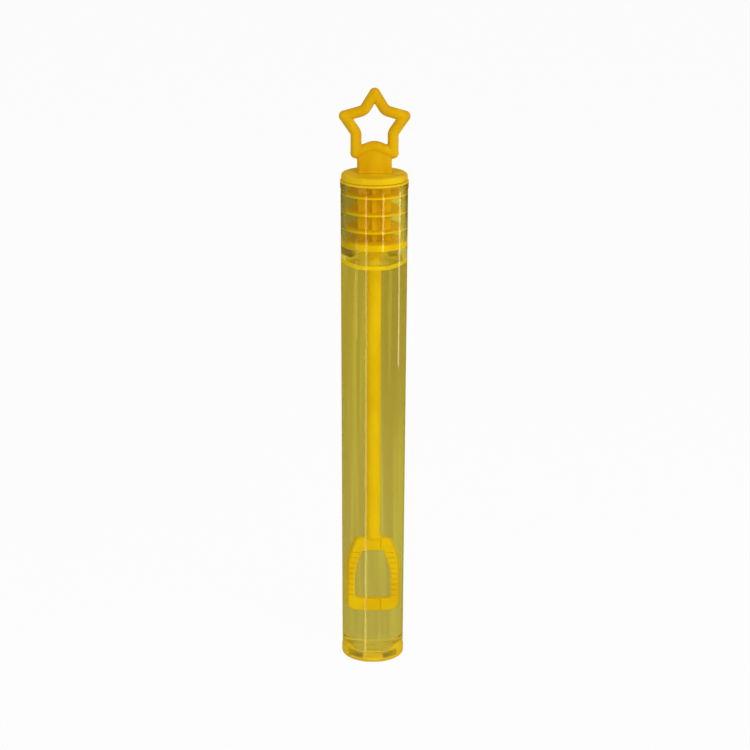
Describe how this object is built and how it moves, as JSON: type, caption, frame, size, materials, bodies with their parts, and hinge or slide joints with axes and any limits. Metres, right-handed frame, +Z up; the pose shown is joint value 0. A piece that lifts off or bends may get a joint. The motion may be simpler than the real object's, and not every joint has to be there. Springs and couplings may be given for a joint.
{
  "type": "bubble wand in a tube",
  "caption": "Slim clear tube of bubble solution, closed by a finned stopper with an open star handle; a blowing loop hangs on a stem under it.",
  "frame": {"origin": "centre of the tube's foot, on the surface it stands on", "axes": "+Z up the tube, +X to the viewer's right, and the star and the blowing loop face -Y"},
  "size_m": [0.0124, 0.012, 0.105],
  "materials": {
    "clear_tube": "clear moulded, faint yellow tint",
    "solution": "clear yellow liquid",
    "yellow_moulding": "semi-gloss, slightly translucent"
  },
  "bodies": {
    "bottle": {"tube": "clear_tube", "bubble_solution": "solution"},
    "wand": {"star_handle": "yellow_moulding", "mouth_flange": "yellow_moulding", "plug_core": "yellow_moulding", "seal_fins": "yellow_moulding", "plug_end_disc": "yellow_moulding", "stem_collar": "yellow_moulding", "wand_stem": "yellow_moulding", "bubble_loop": "yellow_moulding"}
  },
  "joints": [
    {"name": "wand_pull", "type": "slide", "parent": "bottle", "child": "wand", "axis": [0, 0, 1], "range_m": [0, 0.085], "deforming": ["bubble_solution"]}
  ]
}
